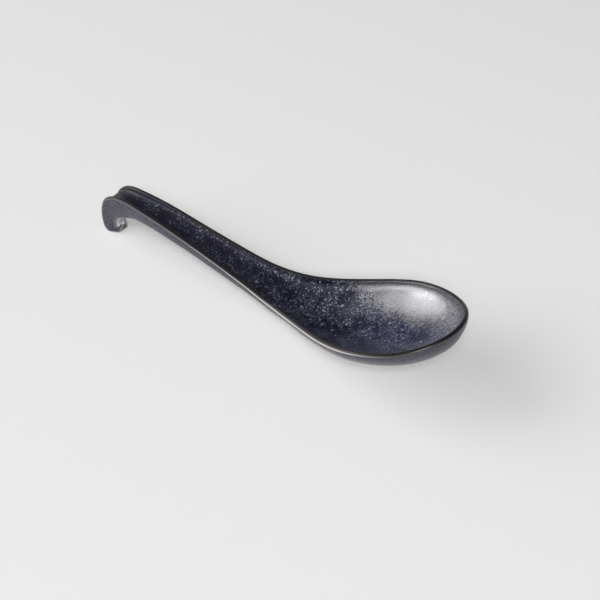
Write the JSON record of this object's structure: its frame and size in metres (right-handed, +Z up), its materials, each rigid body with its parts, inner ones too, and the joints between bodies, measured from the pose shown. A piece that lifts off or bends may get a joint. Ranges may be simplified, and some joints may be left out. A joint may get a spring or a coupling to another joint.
{
  "type": "ceramic soup spoon",
  "caption": "Ceramic soup spoon with a deep pointed bowl, a channelled handle and a small hook under its end, in dark speckled glaze.",
  "frame": {"origin": "half way along the spoon, in its plane of symmetry, at the height of the table that it lies on", "axes": "+X from the hook to the tip of the bowl, +Y to the left of that, +Z up from the table"},
  "size_m": [0.1726, 0.05, 0.0308],
  "materials": {
    "bare_clay": "matt",
    "inner_glaze": "satin",
    "outer_glaze": "satin",
    "rim_glaze": "satin"
  },
  "bodies": {
    "root": {"stoneware_body": "bare_clay", "inner_glaze": "inner_glaze", "outer_glaze": "outer_glaze", "rim_glaze": "rim_glaze"}
  },
  "joints": []
}
